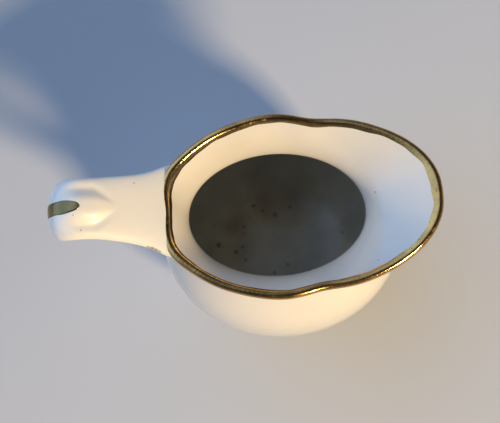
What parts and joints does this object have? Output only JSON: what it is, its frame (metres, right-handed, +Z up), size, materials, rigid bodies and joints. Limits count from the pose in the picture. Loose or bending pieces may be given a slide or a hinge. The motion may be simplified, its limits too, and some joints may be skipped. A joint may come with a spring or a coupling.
{
  "type": "cream jug",
  "caption": "Small oval porcelain cream jug with a bulging belly, cusped and spouted collar, gilded rim, foot ring and a strap handle with a raised thumb rest.",
  "frame": {"origin": "centre of the foot ring's flat foot, on the table", "axes": "+X towards the spout, the handle on -X, +Z up; the body is symmetric about the XZ plane, the handle sits 1 to 2 mm towards +Y"},
  "size_m": [0.1101, 0.0668, 0.084],
  "materials": {
    "glazed_porcelain": "glossy clear glaze over ivory-white porcelain",
    "handle_porcelain": "glossy clear glaze over ivory-white porcelain",
    "unglazed_porcelain": "bare fired porcelain, matt",
    "gilding": "burnished gold, fired on and worn"
  },
  "bodies": {
    "root": {"jug_body": "glazed_porcelain", "foot_ring": "unglazed_porcelain", "handle": "handle_porcelain", "upper_handle_joint": "handle_porcelain", "lower_handle_joint": "handle_porcelain", "gilt_rim_band": "gilding", "gilt_handle_stripe": "gilding"}
  },
  "joints": []
}
